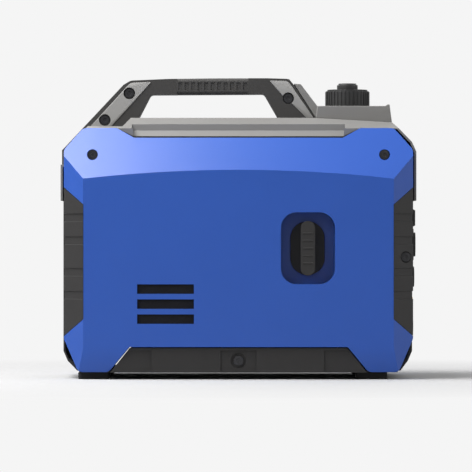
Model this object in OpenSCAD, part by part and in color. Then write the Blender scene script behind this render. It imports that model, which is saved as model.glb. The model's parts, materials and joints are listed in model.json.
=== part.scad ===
// Portable inverter generator, 2 kW class, built as separate pieces.
// +X runs to the control end, -Y is the starter side, +Z is up, the feet stand on Z = 0.

/* [Overall] */
// Length over the shoulders of the top cover
body_l = 500; // [480:1:600]
// Width over the two side covers
body_w = 285; // [280:1:345]
// Height of the top cover's flat spine above the floor
deck_z = 366.3; // [360:0.1:440]
// Height of the carrying handle above the spine
handle_rise = 56.7; // [45:0.1:75]

/* [Covers] */
// Wall thickness of the moulded covers
wall = 3; // [2:0.25:4]
// Half width of the centre section between the side covers
seam_y = 78; // [72:1:84]
// Gap between neighbouring covers
gap = 0.4; // [0.2:0.1:0.8]
// Height at which the flat side face turns into the upper slope
face_top_z = 291.5; // [275:0.5:300]
// Tilt of the upper slope from level
slope_tilt = 49.5; // [46:0.5:54]
// How far the upper slope bows outwards at the middle of its length
slope_bow = 8; // [2:0.5:10]
// Height of the side cover's corners
crest_z = 351; // [345:1:356]
// Height of the side cover's long dipped edge
dip_z = 337; // [325:1:345]
// Height of the arch over the lower trim
arch_z = 45; // [40:1:60]
// Length of each vent slot in the starter side
vent_l = 79; // [50:1:90]
// Height of each vent slot
vent_h = 13.2; // [8:0.1:14]

/* [Handle] */
// Width of the handle across the body
handle_w = 54; // [44:1:64]
// Height of the gripping bar
bar_h = 22; // [18:0.5:26]
// Length of the rubber grip in the bar
grip_l = 101; // [70:1:120]
// Number of ribs on the rubber grip
grip_ribs = 11; // [5:1:13]

/* [Fuel] */
// Distance of the filler cap from the middle of the body
cap_x = 155; // [140:1:165]
// Outer radius of the filler cap
cap_r = 31.5; // [28:0.5:36]
// Outer radius of the filler neck
neck_r = 22; // [18:0.5:24]
// Outer radius of the vent knob
vent_knob_r = 14.8; // [11:0.1:17]

/* [Starter] */
// Distance of the starter from the middle of the body
starter_x = 96.5; // [90:0.5:100]
// Height of the crankshaft above the floor
crank_z = 130; // [124:1:136]
// Radius at which the rope winds on the reel
rope_pitch_r = 52.35; // [48:0.05:54]
// Radius of the starter rope
rope_r = 2.4; // [1.5:0.1:3]
// Height of the starter grip
grip_h = 76; // [60:1:80]
// Width of the starter grip
grip_w = 20; // [14:0.5:22]
// Width of the recess around the grip
recess_w = 75.4; // [66:0.1:80]
// Height of the recess around the grip
recess_h = 100; // [90:1:110]

/* [Engine] */
// Radius of the main crankshaft journal
shaft_r = 12; // [9:0.5:14]
// Running clearance of a shaft in its hole
run_fit = 0.05; // [0.02:0.01:0.1]
// Outer radius of the flywheel
flywheel_r = 66; // [58:1:66]
// Number of cooling blades on the flywheel
blades = 12; // [6:1:16]
// Number of cooling fins on the cylinder
fins = 6; // [3:1:7]

/* [Feet and fasteners] */
// Length of each rubber foot along the body
foot_l = 44; // [30:1:50]
// Height of each rubber foot
foot_h = 9.4; // [6:0.1:14]
// Radius of a cover screw's head
screw_r = 6.8; // [4:0.1:7]
// Width of the ring of clearance around a screw's head
screw_ring = 0.9; // [0.5:0.1:1.5]

/* [Hidden] */
$fn = 48;
end_x = body_l / 2;
side_y = body_w / 2;
top_z = deck_z + handle_rise;
ledge_z = crest_z + 3;
cover_x = end_x - 6;
face_x = cover_x - 28;
skirt_z = foot_h + 0.6;
shoulder_z = crest_z - 30.4;
rise_in = 146;
rise_out = 171;
foot_in = 181;
arch_in = 152;
floor_top = foot_h + wall;
pan_x = cover_x - 22;
pan_y = side_y - 14.5;

rope_z = crank_z + rope_pitch_r;
recess_floor_y = -side_y + 42;
bar_y = -side_y + 1;
bar_t = 15;

engine_x0 = -150;
engine_x1 = -20;
bore_x = -85;
tank_x0 = -28;
tank_x1 = 206;
tank_z0 = 262;
tank_z1 = 335;
block_top_z = deck_z + 17;
cap_floor_z = block_top_z + 0.3;
cap_top_z = block_top_z + 24;
neck_top_z = block_top_z + 4.7;
panel_x = cover_x - 4.2;

door_x0 = -140;
door_x1 = 30;
door_z0 = 70;
door_z1 = 262;
door_knob_r = 12;

// ---------- helpers: extrude a flat outline along one axis ----------

module along_x(x0, x1) {
    translate([x0, 0, 0]) rotate([90, 0, 90]) linear_extrude(x1 - x0) children();
}

module along_y(y0, y1) {
    translate([0, y1, 0]) rotate([90, 0, 0]) linear_extrude(y1 - y0) children();
}

module along_z(z0, z1) {
    translate([0, 0, z0]) linear_extrude(z1 - z0) children();
}

module rod_x(x0, x1, r, y, z) {
    translate([x0, y, z]) rotate([0, 90, 0]) cylinder(h = x1 - x0, r = r);
}

module rod_y(y0, y1, r, x, z) {
    translate([x, y1, z]) rotate([90, 0, 0]) cylinder(h = y1 - y0, r = r);
}

module rod_z(z0, z1, r, x, y) {
    translate([x, y, z0]) cylinder(h = z1 - z0, r = r);
}

module block(x0, x1, y0, y1, z0, z1) {
    translate([x0, y0, z0]) cube([x1 - x0, y1 - y0, z1 - z0]);
}

// A flat rectangle centred on (u, v) with round corners
module pad(u, v, w, h, r) {
    translate([u, v]) offset(r = r) square([w - 2 * r, h - 2 * r], center = true);
}

// ---------- the closed form that both side covers and the corner guards are cut from ----------

// Side view, length against height
module cover_outline() {
    offset(r = 10) offset(delta = -10) polygon([
        [-cover_x, shoulder_z], [-cover_x + 26, crest_z], [-rise_out, crest_z],
        [-rise_in, dip_z], [rise_in, dip_z], [rise_out, crest_z],
        [cover_x - 26, crest_z], [cover_x, shoulder_z], [cover_x, 56],
        [cover_x - 21, skirt_z], [foot_in, skirt_z], [arch_in, arch_z],
        [-arch_in, arch_z], [-foot_in, skirt_z], [-cover_x + 21, skirt_z], [-cover_x, 56],
    ]);
}

// End view, width against height: flat face and tucked-in lower edge
module cover_section() {
    polygon([
        [-side_y, top_z], [side_y, top_z], [side_y, 44], [side_y - 8, skirt_z - wall],
        [-side_y + 8, skirt_z - wall], [-side_y, 44],
    ]);
}

// The drum whose skin is one side's upper slope: its axis lies along the slope, so the slope bows outwards
module slope_drum(inset) {
    drum_r = (face_x * face_x + slope_bow * slope_bow) / (2 * slope_bow);
    translate([0, -side_y, face_top_z]) rotate([slope_tilt - 90, 0, 0]) translate([0, drum_r, -body_l])
        cylinder(h = 2 * body_l, r = drum_r - inset, $fn = 720);
}

// Plan view, length against width, with sloped corners
module cover_plan() {
    corner_y = side_y - 30.5;
    polygon([
        [-cover_x, -corner_y], [-face_x, -side_y], [face_x, -side_y], [cover_x, -corner_y],
        [cover_x, corner_y], [face_x, side_y], [-face_x, side_y], [-cover_x, corner_y],
    ]);
}

module cover_form(inset) {
    intersection() {
        along_y(-side_y - 1, side_y + 1) offset(delta = -inset) cover_outline();
        along_x(-end_x, end_x) offset(delta = -inset) cover_section();
        along_z(0, top_z) offset(delta = -inset) cover_plan();
        slope_drum(inset);
        mirror([0, 1, 0]) slope_drum(inset);
    }
}

// The starter side's half of the hollow form
module cover_skin() {
    difference() {
        cover_form(0);
        cover_form(wall);
        block(-end_x, end_x, -seam_y, side_y + 1, 0, top_z);
    }
}

// The bay in the middle of a corner that a guard fills, to one end (s = -1 or 1)
module guard_bay(s, margin) {
    along_y(-side_y - 1, 0) offset(delta = margin) polygon([
        [s * face_x, 84], [s * face_x, 243], [s * (end_x + 2), 274], [s * (end_x + 2), 53],
    ]);
}

// Places of the cover screws: x, z, y of the head's seat
cover_screw_spots = [
    [-204, 313, -side_y + 39],
    [204, 313, -side_y + 39],
];
guard_screw_x = cover_x - 10.5;
guard_screw_z = 170;
guard_seat_y = -side_y + 28;

// A deep socket moulded into a sloping wall for a screw along Y
module screw_well(spot) {
    intersection() {
        rod_y(-side_y, spot[2] + 3, screw_r + screw_ring + 2, spot[0], spot[1]);
        cover_form(0);
    }
}

module screw_well_hole(spot) {
    rod_y(-side_y - 1, spot[2], screw_r + screw_ring, spot[0], spot[1]);
    rod_y(spot[2] - 1, spot[2] + 4, 2.6, spot[0], spot[1]);
}

module side_shell() {
    difference() {
        union() {
            difference() {
                cover_skin();
                for (s = [-1, 1]) guard_bay(s, gap);
                block(-pan_x - gap, pan_x + gap, -pan_y - gap, 0, 0, floor_top + gap);
            }
            for (spot = cover_screw_spots) screw_well(spot);
        }
        for (spot = cover_screw_spots) screw_well_hole(spot);
    }
}

// ---------- covers ----------

module recess_outline(margin) {
    pad(starter_x, rope_z, recess_w + 2 * margin, recess_h + 2 * margin, 22 + margin);
}

module starter_side_cover() {
    color("royalblue") difference() {
        union() {
            side_shell();
            along_y(-side_y, recess_floor_y + wall) recess_outline(wall);
        }
        along_y(-side_y - 1, recess_floor_y) recess_outline(0);
        rod_y(recess_floor_y - 1, recess_floor_y + wall + 1, 10.2, starter_x, rope_z);
        for (i = [0:2]) {
            z = 125.6 - i * 20.9;
            block(-141, -141 + vent_l, -side_y - 1, -side_y + wall + 1, z - vent_h / 2, z + vent_h / 2);
        }
    }
}

module service_side_cover() {
    color("royalblue") difference() {
        mirror([0, 1, 0]) side_shell();
        block(door_x0, door_x1, side_y - wall - 1, side_y + 1, door_z0, door_z1);
        for (i = [0:4]) {
            z = 200 - i * 21;
            block(80, 80 + vent_l, side_y - wall - 1, side_y + 1, z - vent_h / 2, z + vent_h / 2);
        }
    }
}

module service_door() {
    clear = 1;
    knob_x = (door_x0 + door_x1) / 2;
    knob_z = door_z1 - 22;
    color("royalblue") difference() {
        union() {
            block(door_x0 + clear, door_x1 - clear, side_y - wall, side_y, door_z0 + clear, door_z1 - clear);
            // Stiffening frame and the two hooks behind the lower edge
            block(door_x0 + 6, door_x1 - 6, side_y - wall - 3, side_y - wall, door_z0 + 6, door_z0 + 9);
            for (x = [door_x0 + 24, door_x1 - 44]) {
                block(x, x + 20, side_y - wall - 3.3, side_y - wall - 0.3, door_z0 - 6, door_z0 + 9);
            }
        }
        rod_y(side_y - wall - 1, side_y + 1, door_knob_r + 0.3, knob_x, knob_z);
        for (i = [0:3]) {
            z = door_z0 + 30 + i * 21;
            block(knob_x - vent_l / 2, knob_x + vent_l / 2, side_y - wall - 1, side_y + 1, z, z + vent_h);
        }
    }
}

module door_knob() {
    knob_x = (door_x0 + door_x1) / 2;
    knob_z = door_z1 - 22;
    color("dimgray") difference() {
        union() {
            rod_y(side_y - wall - 3, side_y - 0.2, door_knob_r, knob_x, knob_z);
            rod_y(side_y - wall - 3, side_y - wall - 0.3, door_knob_r + 3, knob_x, knob_z);
        }
        block(knob_x - 9, knob_x + 9, side_y - 2.2, side_y, knob_z - 1.5, knob_z + 1.5);
    }
}

// Ribbed guard on the corner: s = -1 or 1 for the end, on the starter side
module corner_guard(s, with_screw) {
    spot = [s * guard_screw_x, guard_screw_z, guard_seat_y];
    bands = [225, 193, 149, 117];
    color("dimgray") difference() {
        union() {
            intersection() {
                cover_skin();
                guard_bay(s, 0);
            }
            if (with_screw) screw_well(spot);
        }
        // Shallow recessed bands around the corner
        for (z = bands) {
            difference() {
                block(s > 0 ? 0 : -end_x, s > 0 ? end_x : 0, -side_y - 1, 0, z - 5.5, z + 5.5);
                cover_form(1.2);
            }
        }
        if (with_screw) screw_well_hole(spot);
    }
}

// ---------- top cover ----------

module top_outline() {
    polygon([
        [-end_x, crest_z - 102], [-end_x, crest_z - 51.3], [-end_x + 4.3, crest_z - 51.3],
        [-end_x + 4.3, crest_z - 31.7], [-end_x + 13, crest_z - 22.5],
        [-end_x + 38.2, ledge_z], [-163, ledge_z], [-152, deck_z],
        [109, deck_z], [cover_x - 27, deck_z - 6.8],
        [cover_x, crest_z - 19.5], [end_x, crest_z - 33], [end_x, crest_z - 102],
    ]);
}

// End view of the crowned roof, lowered by t for the inner face
module roof_section(t) {
    reach = t > 0 ? seam_y + 5 : seam_y - 0.3;
    polygon([
        [-reach, 0], [-reach, crest_z - t], [-60, crest_z + 7 - t], [-47, deck_z - t],
        [47, deck_z - t], [60, crest_z + 7 - t], [reach, crest_z - t], [reach, 0],
    ]);
}

// Long hollow beside the spine, over the side cover's dipped edge
module trough(t) {
    for (s = [-1, 1]) {
        along_x(-rise_in - 4 - t, rise_in + 4 + t) offset(delta = t) polygon([
            [s * (seam_y + 9), dip_z], [s * (seam_y - 5), dip_z + 1],
            [s * (seam_y - 15), crest_z - 3], [s * (seam_y - 17), deck_z + 9],
            [s * (seam_y + 9), deck_z + 9],
        ]);
    }
}

module top_cover() {
    color("gray") difference() {
        intersection() {
            along_y(-seam_y, seam_y) top_outline();
            along_x(-end_x, end_x) roof_section(0);
        }
        trough(0);
        difference() {
            intersection() {
                along_y(-seam_y - 5, seam_y + 5) union() {
                    offset(delta = -wall) top_outline();
                    polygon([
                        [-end_x + wall, crest_z - 110], [-end_x + wall, crest_z - 90],
                        [end_x - wall, crest_z - 90], [end_x - wall, crest_z - 110],
                    ]);
                }
                along_x(-end_x, end_x) roof_section(wall);
            }
            trough(wall);
        }
        rod_z(deck_z - 20, deck_z + 5, neck_r + 2, cap_x, 0);
    }
}

// ---------- carrying handle ----------

// Lower left leg of the opening, upper left, upper right, lower right
open_ll = [-143.9, deck_z];
open_ul = [-124.3, top_z - bar_h - 1];
open_ur = [36.4, top_z - bar_h];
open_lr = [57.8, deck_z];

module handle_outline() {
    difference() {
        polygon([
            [-end_x, crest_z - 51.3], [-end_x, crest_z - 30], [-end_x + 10, crest_z - 19.5],
            [-163, top_z - 9.4], [-154, top_z - 4], [-150, top_z - 3.2], [-100, top_z - 1],
            [-30, top_z], [40, top_z], [68, top_z - 0.8], [72, top_z - 1.6], [77.3, top_z - 8],
            [109, deck_z], [-152, deck_z], [-163, ledge_z],
            [-end_x + 38.2, ledge_z], [-end_x + 13, crest_z - 22.5],
            [-end_x + 4.3, crest_z - 31.7], [-end_x + 4.3, crest_z - 51.3],
        ]);
        offset(r = 6) offset(delta = -6) polygon([
            open_ll - [8, 20], open_ul, open_ur, open_lr + [10, -20],
        ]);
    }
}

handle_screw_spots = [[-154.7, top_z - 21.4], [-189.4, top_z - 59.2], [70.4, top_z - 28.5]];

module handle_half() {
    half_w = handle_w / 2;
    grip_x0 = -36.5 - grip_l / 2;
    difference() {
        union() {
            difference() {
                along_y(-half_w, 0) handle_outline();
                along_y(-half_w + wall, 1) offset(delta = -wall) handle_outline();
            }
            intersection() {
                along_y(-half_w, 0) handle_outline();
                for (spot = handle_screw_spots) {
                    rod_y(-half_w, 0, screw_r + screw_ring + 2, spot[0], spot[1]);
                }
            }
        }
        for (spot = handle_screw_spots) {
            rod_y(-half_w - 1, -half_w + 7, screw_r + screw_ring, spot[0], spot[1]);
            rod_y(-half_w, 1, 2.6, spot[0], spot[1]);
        }
        // Seat for the rubber grip around the bar
        block(grip_x0, grip_x0 + grip_l, -half_w - 1, 1, top_z - bar_h - 10, top_z + 1);
    }
}

module handle_front_half() {
    color("darkgray") handle_half();
}

module handle_back_half() {
    color("darkgray") mirror([0, 1, 0]) handle_half();
}

module handle_grip() {
    half_w = handle_w / 2;
    grip_x0 = -36.5 - grip_l / 2;
    pitch = grip_l / grip_ribs;
    color("dimgray") difference() {
        intersection() {
            block(grip_x0, grip_x0 + grip_l, -half_w, half_w, top_z - bar_h - 6, top_z);
            along_y(-half_w, half_w) handle_outline();
            along_x(-end_x, end_x) pad(0, top_z - bar_h / 2 - 0.5, handle_w, bar_h + 1, 5);
        }
        for (i = [0:grip_ribs - 1]) {
            x = grip_x0 + (i + 0.5) * pitch;
            for (s = [-1, 1]) {
                block(x - pitch * 0.3, x + pitch * 0.3, s * half_w - 1.2, s * half_w + 1.2,
                    top_z - 17, top_z - 6);
            }
        }
    }
}

// A socket-head screw pointing along Y, s = -1 when its head faces the starter side
module screw_y(x, z, seat_y, s, shank) {
    translate([x, seat_y, z]) rotate([s * 90, 0, 0]) difference() {
        union() {
            translate([0, 0, 0]) cylinder(h = 4, r = screw_r);
            translate([0, 0, -shank]) cylinder(h = shank, r = 2.5);
        }
        translate([0, 0, 1.5]) cylinder(h = 4, r = 3, $fn = 6);
    }
}

module handle_screws() {
    seat = handle_w / 2 - 7;
    color("dimgray") for (spot = handle_screw_spots) {
        screw_y(spot[0], spot[1], -seat, 1, seat - 1);
        screw_y(spot[0], spot[1], seat, -1, seat - 1);
    }
}

module cover_screws() {
    trim_seat = side_y - trim_set_back - trim_pocket;
    color("dimgray") {
        for (spot = cover_screw_spots) {
            screw_y(spot[0], spot[1], spot[2], 1, 14);
            screw_y(spot[0], spot[1], -spot[2], -1, 14);
        }
        screw_y(guard_screw_x, guard_screw_z, guard_seat_y, 1, 14);
        screw_y(-guard_screw_x, guard_screw_z, -guard_seat_y, -1, 14);
        screw_y(0, 26, -trim_seat, 1, 9);
        screw_y(0, 26, trim_seat, -1, 9);
    }
}

// ---------- end covers and control panel ----------

end_y = seam_y - 0.3;
end_top_z = crest_z - 102 - gap;
panel_open_y = 62;
panel_z0 = 50;
panel_z1 = 240;

// Side view of an end wall of thickness t: upright, then tucked in down to the base pan
module end_wall(x_out, t) {
    seat_x = pan_x + 0.3;
    polygon([
        [x_out, end_top_z], [x_out, 38], [x_out - 6, 24], [seat_x + t + 1, skirt_z],
        [seat_x, skirt_z], [seat_x, floor_top + 4], [x_out - t - 4, 28], [x_out - t, 40],
        [x_out - t, end_top_z],
    ]);
}

module exhaust_end_cover() {
    color("dimgray") difference() {
        mirror([1, 0, 0]) along_y(-end_y, end_y) end_wall(cover_x + 2, wall);
        rod_x(-end_x, -cover_x + wall, 24, 22, 110);
        for (i = [0:5]) {
            z = 160 + i * 13;
            block(-end_x, -cover_x + wall, -55, 55, z, z + 6);
        }
    }
}

module control_end_cover() {
    color("dimgray") difference() {
        along_y(-end_y, end_y) end_wall(cover_x, cover_x - panel_x);
        along_x(panel_x - 1, cover_x + 1) {
            pad(0, (panel_z0 + panel_z1) / 2, 2 * panel_open_y, panel_z1 - panel_z0, 8);
        }
    }
}

module panel_plate() {
    block(panel_x - wall, panel_x, -panel_open_y - 5, panel_open_y + 5, panel_z0 - 5, panel_z1 + 5);
}

knob_y = -36;
knob_z = 225;
knob_r = 12;
eco_y = 2;
ac_button_y = 30;
button_z = 225;
dc_button_y = 48;

module control_panel() {
    color("gray") difference() {
        panel_plate();
        rod_x(panel_x - 9, panel_x + 1, 4 + run_fit, knob_y, knob_z);
        block(panel_x - 9, panel_x + 1, eco_y - 7.4, eco_y + 7.4, button_z - 12, button_z + 12);
        for (y = [ac_button_y, dc_button_y]) rod_x(panel_x - 9, panel_x + 1, 4.4, y, button_z);
    }
}

module run_knob() {
    color("dimgray") {
        rod_x(panel_x - 14, panel_x + 1, 4, knob_y, knob_z);
        rod_x(panel_x + 0.5, panel_x + 9, knob_r, knob_y, knob_z);
        block(panel_x + 8, panel_x + 10.2, knob_y - 2.5, knob_y + 2.5, knob_z - knob_r + 1, knob_z + knob_r - 1);
    }
}

module eco_rocker() {
    color("dimgray") intersection() {
        along_y(eco_y - 7, eco_y + 7) polygon([
            [panel_x - 9, button_z - 6], [panel_x - 9, button_z + 6],
            [panel_x + 2.6, button_z + 10], [panel_x + 0.8, button_z],
            [panel_x + 2.6, button_z - 10],
        ]);
        block(panel_x - 9, end_x, -end_x, end_x, 0, top_z);
    }
}

module reset_button(y) {
    color("dimgray") {
        rod_x(panel_x - 8, panel_x + 4, 4, y, button_z);
        rod_x(panel_x - 8, panel_x - wall - 2.5, 6, y, button_z);
    }
}

// A three-pin receptacle face at (y, z), cut into a plate whose front lies at x
module socket_cuts(x, y, z) {
    along_x(x - 5, x + 1) {
        pad(y - 6.4, z + 2, 2.4, 8.6, 0.4);
        pad(y + 6.4, z + 2, 2.4, 7.6, 0.4);
    }
    rod_x(x - 5, x + 1, 2.6, y, z - 8);
}

module ac_outlets() {
    z = 187.5;
    color("black") difference() {
        for (y = [-30, 30]) {
            along_x(panel_x, end_x - 3) pad(y, z, 54, 44, 5);
            along_x(end_x - 4, end_x) pad(y, z, 38, 34, 12);
        }
        for (y = [-30, 30]) socket_cuts(end_x, y, z);
    }
}

module dc_outlet() {
    color("black") difference() {
        union() {
            along_x(panel_x, panel_x + 5) pad(-32, 142, 46, 38, 5);
            rod_x(panel_x, panel_x + 8.7, 14.5, -32, 142);
        }
        rod_x(panel_x + 1.5, panel_x + 10, 11, -32, 142);
    }
}

module parallel_sockets() {
    color("black") difference() {
        union() {
            along_x(panel_x, panel_x + 5) pad(0, 72, 84, 40, 5);
            for (y = [-20, 20]) rod_x(panel_x, panel_x + 7.7, 12, y, 72);
        }
        for (y = [-20, 20]) rod_x(panel_x + 1.5, panel_x + 9, 7.5, y, 72);
    }
}

module ground_terminal() {
    color("goldenrod") {
        rod_x(panel_x, panel_x + 9.3, 3, 30, 109);
        rod_x(panel_x, panel_x + 1.5, 9, 30, 109);
        translate([panel_x + 1.4, 30, 109]) rotate([0, 90, 0]) cylinder(h = 4.5, r = 6.5, $fn = 6);
    }
}

// ---------- base ----------

module base_pan() {
    color("dimgray") difference() {
        union() {
            block(-pan_x, pan_x, -pan_y, pan_y, foot_h, floor_top);
            for (s = [-1, 1]) {
                y0 = s > 0 ? pan_y - wall : -pan_y;
                block(-arch_in + 4, arch_in - 4, y0, y0 + wall, foot_h, arch_z - 4);
            }
        }
        for (x = [-90:20:90]) {
            for (y = [-60, 60]) block(x - 3, x + 3, y - 18, y + 18, foot_h - 1, floor_top + 1);
        }
        for (s = [-1, 1]) rod_y(s * pan_y - 4, s * pan_y + 4, 2.6, 0, 26);
    }
}

module trim_outline(inset) {
    offset(delta = -inset) polygon([
        [-foot_in + gap + 2, foot_h], [-arch_in + gap, arch_z - gap - 1],
        [arch_in - gap, arch_z - gap - 1], [foot_in - gap - 2, foot_h],
    ]);
}

trim_set_back = 3.5;
trim_pocket = 5;

// Lower skirt: two raised pads with recesses between them and a screw in the middle
module trim() {
    face_y = -side_y + trim_set_back;
    back_y = -pan_y - 0.1;
    color("dimgray") difference() {
        along_y(face_y, back_y) trim_outline(0);
        along_y(face_y + 6.5, back_y + 1) trim_outline(wall);
        for (x = [[-arch_in - 40, -121], [-25, 25], [119, arch_in + 40]]) {
            block(x[0], x[1], face_y - 1, face_y + 2.2, foot_h + 1.5, arch_z - 5);
        }
        rod_y(face_y - 1, face_y + trim_pocket, 10.8, 0, 26);
        rod_y(face_y, face_y + 8, 2.6, 0, 26);
    }
}

module trim_front() {
    trim();
}

module trim_back() {
    mirror([0, 1, 0]) trim();
}

// Places of the four feet, mirrored front to back
foot_spots = [[-201.6, -100], [185.6, -100], [-201.6, 100], [185.6, 100]];

module rubber_foot(i) {
    spot = foot_spots[i];
    color("black") difference() {
        along_z(0, foot_h) pad(spot[0], spot[1], foot_l, 46, 5);
        rod_z(-1, foot_h - 3.5, 6, spot[0], spot[1]);
    }
}

// ---------- engine ----------

mount_spots = [[-134, -38], [-134, 38], [-36, -38], [-36, 38]];
crankcase_z0 = 50;

module engine_mounts() {
    color("black") for (spot = mount_spots) {
        rod_z(floor_top, crankcase_z0, 12, spot[0], spot[1]);
    }
}

fin_pitch = 9;
head_z = 192 + fins * fin_pitch;

module crankcase() {
    color("silver") difference() {
        union() {
            block(engine_x0, engine_x1, -55, 55, crankcase_z0, 190);
            rod_z(180, head_z, 33, bore_x, 0);
            for (i = [0:fins - 1]) {
                block(bore_x - 42, bore_x + 42, -46, 46, 192 + i * fin_pitch, 195 + i * fin_pitch);
            }
        }
        // Crank chamber, cylinder bore, main bearing and dipstick hole
        rod_x(-115, -58, 45, 0, crank_z);
        rod_z(crank_z, head_z + 1, 26, bore_x, 0);
        rod_x(-140, engine_x1 + 1, shaft_r + run_fit, 0, crank_z);
        rod_y(30, 56, 9, -60, 72);
    }
}

module cylinder_head() {
    color("silver") difference() {
        block(bore_x - 44, bore_x + 44, -42, 42, head_z, head_z + 28);
        for (i = [0:1]) {
            block(bore_x - 50, bore_x - 36, -50, -12, head_z + 7 + i * 9, head_z + 11 + i * 9);
        }
        rod_x(bore_x - 45, bore_x - 30, 5 + run_fit, 0, head_z + 14);
    }
}

module valve_cover() {
    color("silver") along_z(head_z + 28, head_z + 50) pad(bore_x, 0, 74, 70, 8);
}

module spark_plug() {
    x0 = bore_x - 44;
    z = head_z + 14;
    color("silver") {
        rod_x(x0, x0 + 13, 5, 0, z);
        translate([x0 - 9, 0, z]) rotate([0, 90, 0]) cylinder(h = 9, r = 9, $fn = 6);
        rod_x(x0 - 34, x0 - 8, 5, 0, z);
    }
}

module plug_cap() {
    x0 = bore_x - 44;
    z = head_z + 14;
    color("black") difference() {
        union() {
            rod_x(x0 - 48, x0 - 12, 10, 0, z);
            rod_z(z - 16, z, 7, x0 - 40, 0);
        }
        rod_x(x0 - 34.1, x0 - 11, 5 + run_fit, 0, z);
    }
}

module oil_filler_cap() {
    color("black") {
        rod_y(55.3, 66, 13, -60, 72);
        rod_y(32, 56, 8.5, -60, 72);
    }
}

module muffler() {
    color("silver") {
        along_x(-226, -166) pad(0, 125, 104, 124, 14);
        rod_x(-167, engine_x0, 14, 20, 160);
    }
}

module exhaust_outlet() {
    color("silver") difference() {
        rod_x(-end_x + 1, -226, 14, 22, 110);
        rod_x(-end_x, -228, 11, 22, 110);
    }
}

module carburettor() {
    z = head_z + 14;
    color("silver") {
        rod_y(42, 80, 12, bore_x, z);
        block(bore_x - 15, bore_x + 15, 50, 74, z - 26, z + 16);
        block(bore_x - 20, bore_x + 20, 76, 80, z - 15, z + 15);
    }
}

module air_cleaner_box() {
    color("dimgray") {
        along_y(80, 118) pad(bore_x - 5, head_z - 10, 96, 84, 8);
        along_y(118, 124) pad(bore_x - 5, head_z - 10, 102, 88, 10);
    }
}

// ---------- fuel system ----------

module fuel_tank() {
    color("dimgray") difference() {
        union() {
            along_z(tank_z0, tank_z1) pad((tank_x0 + tank_x1) / 2, 0, tank_x1 - tank_x0, 132, 16);
            rod_z(tank_z1 - 1, neck_top_z, neck_r, cap_x, 0);
            // Bosses that hang the tank from the roof
            for (x = [6, 98]) {
                for (y = [-38, 38]) rod_z(tank_z1 - 1, deck_z - wall, 7, x, y);
            }
        }
        along_z(tank_z0 + wall, tank_z1 - wall) {
            pad((tank_x0 + tank_x1) / 2, 0, tank_x1 - tank_x0 - 2 * wall, 132 - 2 * wall, 13);
        }
        rod_z(tank_z1 - wall - 1, neck_top_z + 1, neck_r - wall, cap_x, 0);
    }
}

// Hose from the tank's underside to the carburettor, each leg a little thicker than the last
module fuel_hose() {
    color("black") {
        rod_z(tank_z0 - 12, tank_z0, 3.6, -12, 40);
        rod_y(35, 67, 4, -12, tank_z0 - 12);
        rod_x(bore_x + 15, -7, 4.4, 62, tank_z0 - 12);
    }
}

module cap_core() {
    color("black") difference() {
        union() {
            rod_z(neck_top_z + 0.3, neck_top_z + 4, neck_r + 1, cap_x, 0);
            rod_z(neck_top_z - 12, neck_top_z + 1, neck_r - wall - 0.5, cap_x, 0);
        }
        rod_z(neck_top_z - 13, neck_top_z + 0.3, neck_r - wall - 3.5, cap_x, 0);
    }
}

module fuel_cap() {
    grip_ribs_n = 36;
    color("black") difference() {
        union() {
            rod_z(cap_floor_z, cap_top_z - 2, cap_r - 1, cap_x, 0);
            rod_z(cap_top_z - 2, cap_top_z, cap_r - 3, cap_x, 0);
            for (i = [0:grip_ribs_n - 1]) {
                a = i * 360 / grip_ribs_n;
                translate([cap_x, 0, cap_floor_z]) rotate([0, 0, a]) translate([cap_r - 2, -1.2, 0]) {
                    cube([2, 2.4, cap_top_z - cap_floor_z - 3]);
                }
            }
        }
        rod_z(cap_floor_z - 1, neck_top_z + 4.3, neck_r + 1.5, cap_x, 0);
        rod_z(neck_top_z + 4.3 + 2, cap_top_z + 1, 5 + run_fit, cap_x, 0);
    }
}

module vent_knob() {
    color("black") {
        rod_z(neck_top_z + 4.3 + 3, cap_top_z + 1, 5, cap_x, 0);
        rod_z(cap_top_z + 0.3, cap_top_z + 7, vent_knob_r, cap_x, 0);
        rod_z(cap_top_z + 7, cap_top_z + 9.1, vent_knob_r - 2, cap_x, 0);
    }
}

module filler_block() {
    half_w = 44;
    color("gray") difference() {
        union() {
            along_y(-half_w, half_w) polygon([
                [109.7, deck_z], [112, block_top_z], [cap_x + 53, block_top_z],
                [cap_x + 55.7, block_top_z + 2.4], [cover_x - 30.5, block_top_z + 2.4],
                [cover_x - 27, deck_z - 6.8],
            ]);
            // Ramp that runs up behind the handle's right leg
            along_y(-handle_w / 2, handle_w / 2) polygon([
                [109.7, deck_z], [78.4, top_z - 7.6], [88.2, top_z - 8.2], [112, block_top_z],
            ]);
        }
        along_y(-half_w + wall, half_w - wall) polygon([
            [118, deck_z - 20], [118, block_top_z - wall],
            [cover_x - 36, block_top_z - wall], [cover_x - 36, deck_z - 20],
        ]);
        rod_z(block_top_z - wall - 1, block_top_z + 1, neck_r + 2, cap_x, 0);
    }
}

// ---------- rotating set ----------

module crankshaft() {
    pin_offset = 22;
    color("silver") {
        rod_x(-138, -108, shaft_r, 0, crank_z);
        rod_x(-112, -98, 38, 0, crank_z);
        rod_x(-99, -76, 9, 0, crank_z + pin_offset);
        rod_x(-77, -63, 38, 0, crank_z);
        rod_x(-64, 24, shaft_r, 0, crank_z);
        rod_x(23, 60, shaft_r - 2, 0, crank_z);
        translate([60, 0, crank_z]) rotate([0, 90, 0]) cylinder(h = 7, r = 9, $fn = 6);
    }
}

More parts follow.
